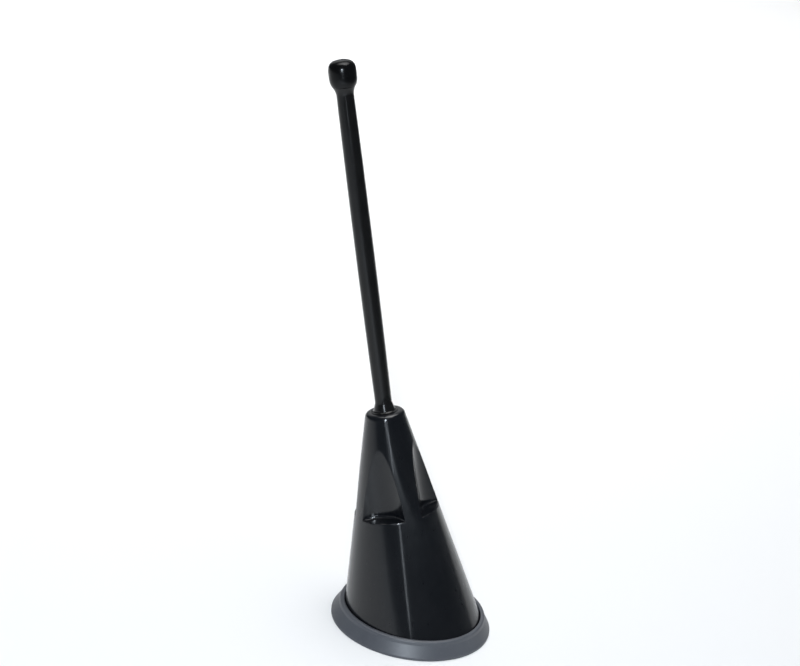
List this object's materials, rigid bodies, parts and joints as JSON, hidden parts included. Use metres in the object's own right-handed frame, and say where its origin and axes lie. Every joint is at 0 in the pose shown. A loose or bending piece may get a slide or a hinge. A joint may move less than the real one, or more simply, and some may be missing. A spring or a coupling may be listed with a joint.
{
  "type": "omnidirectional antenna",
  "caption": "Short rubber whip antenna with a bulb tip, screwed into a raked black cone base on a flared rubber gasket, with a hollow stud, toothed washer and nut for panel mounting.",
  "frame": {"origin": "centre of the panel hole, on the plane of the gasket's underside", "axes": "+Z square to the panel and away from it; the whip leans toward -X in the XZ plane"},
  "size_m": [0.0958, 0.0618, 0.2435],
  "materials": {
    "housing_plastic": "black, satin to glossy, weathered",
    "gasket_rubber": "matte grey, dusty",
    "whip_rubber": "satin black",
    "seal_rubber": "matte black",
    "zinc": "die-cast, satin",
    "steel": "zinc plated",
    "brass": "turned, satin",
    "copper": "enamelled copper wire",
    "glass_fibre": "resin-bonded fibre",
    "board": "green solder mask",
    "tin": "bright tinned",
    "ceramic": "fired ceramic",
    "ferrite": "sintered",
    "capacitor_sleeve": "shrink sleeve",
    "white_plastic": "fluoropolymer"
  },
  "bodies": {
    "base": {"housing": "housing_plastic", "mast_insert": "brass", "feed_wire": "copper", "gasket": "gasket_rubber", "base_plate": "zinc", "housing_screw_1": "steel", "housing_screw_2": "steel", "housing_screw_3": "steel", "housing_screw_4": "steel", "amplifier_board": "board", "board_screw_1": "steel", "board_screw_2": "steel", "board_screw_3": "steel", "board_screw_4": "steel", "shield_can": "tin", "filter_block": "ceramic", "rf_choke": "ferrite", "capacitor_1": "capacitor_sleeve", "capacitor_2": "capacitor_sleeve", "mounting_stud": "zinc", "socket_shell": "brass", "socket_core": "white_plastic", "socket_pin": "brass"},
    "whip_seal": {"mast_seal_ring": "seal_rubber"},
    "whip": {"mast_jacket": "whip_rubber", "tip_cap": "whip_rubber", "mast_ferrule": "steel", "mast_rod": "glass_fibre", "radiator_coil": "copper"},
    "washer": {"claw_washer": "steel"},
    "nut": {"mount_nut": "steel"}
  },
  "joints": [
    {"name": "whip_lift", "type": "slide", "parent": "base", "child": "whip_seal", "axis": [-0.2639, 0, 0.9646], "range_m": [0, 0.008]},
    {"name": "whip_turn", "type": "hinge", "parent": "whip_seal", "child": "whip", "pos_m": [-0.02333, 0, 0.08599], "axis": [-0.2639, 0, 0.9646], "range_deg": [0, 3610]},
    {"name": "nut_lift", "type": "slide", "parent": "base", "child": "washer", "axis": [0, 0, -1], "range_m": [-0.0026, 0.0081]},
    {"name": "nut_turn", "type": "hinge", "parent": "washer", "child": "nut", "pos_m": [0, 0, -0.0076], "axis": [0, 0, -1], "range_deg": [-900, 2880]}
  ],
  "couplings": [
    {"joint": "whip_turn", "follows": "whip_lift", "rad_per_m": 7854},
    {"joint": "nut_lift", "follows": "nut_turn", "m_per_rad": 0.00015915}
  ]
}
